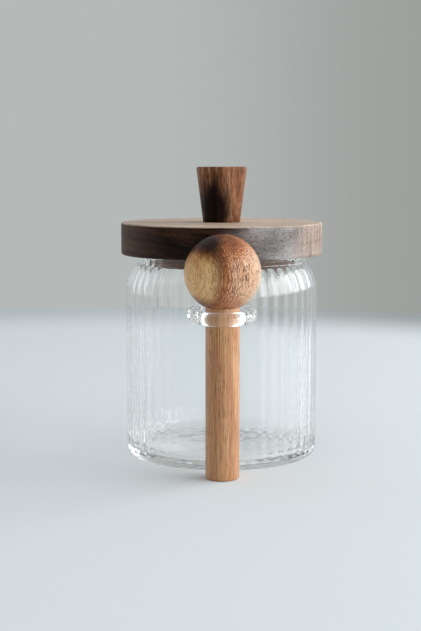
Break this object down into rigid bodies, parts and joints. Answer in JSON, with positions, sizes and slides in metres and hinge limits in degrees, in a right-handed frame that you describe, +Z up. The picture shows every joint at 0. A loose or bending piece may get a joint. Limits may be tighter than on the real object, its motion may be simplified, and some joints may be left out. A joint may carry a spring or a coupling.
{
  "type": "jam pot",
  "caption": "Fluted glass jar with a wooden lid and knob, a silicone seal, and a ball-backed wooden spoon that stands in a glass loop on the jar's wall.",
  "frame": {"origin": "centre of the jar's base, on the surface that it stands on", "axes": "+Z up along the jar's axis, -Y towards the spoon and its loop, +X to the right seen from the spoon's side"},
  "size_m": [0.095, 0.1199, 0.1362],
  "materials": {
    "clear_glass": "clear, fire-polished",
    "lid_wood": "dark brown, oiled, fine grain",
    "knob_wood": "brown, oiled, turned",
    "bowl_wood": "reddish brown with pale sapwood, oiled",
    "handle_wood": "light brown, straight grain, sanded",
    "dowel_wood": "plain beech, unseen",
    "silicone": "translucent white, satin"
  },
  "bodies": {
    "jar": {"glass_jar": "clear_glass", "spoon_loop": "clear_glass"},
    "seal": {"lid_seal": "silicone"},
    "lid": {"lid_plate": "lid_wood", "lid_plug": "lid_wood", "lid_knob": "knob_wood", "knob_dowel": "dowel_wood"},
    "spoon": {"spoon_bowl": "bowl_wood", "spoon_handle": "handle_wood"}
  },
  "joints": [
    {"name": "lid_lift", "type": "slide", "parent": "jar", "child": "seal", "axis": [0, 0, 1], "range_m": [0, 0.1]},
    {"name": "lid_turn", "type": "hinge", "parent": "seal", "child": "lid", "pos_m": [0, 0, 0.0952], "axis": [0, 0, 1], "continuous": true},
    {"name": "spoon_lift", "type": "slide", "parent": "jar", "child": "spoon", "axis": [0, 0, 1], "range_m": [0, 0.09]}
  ]
}
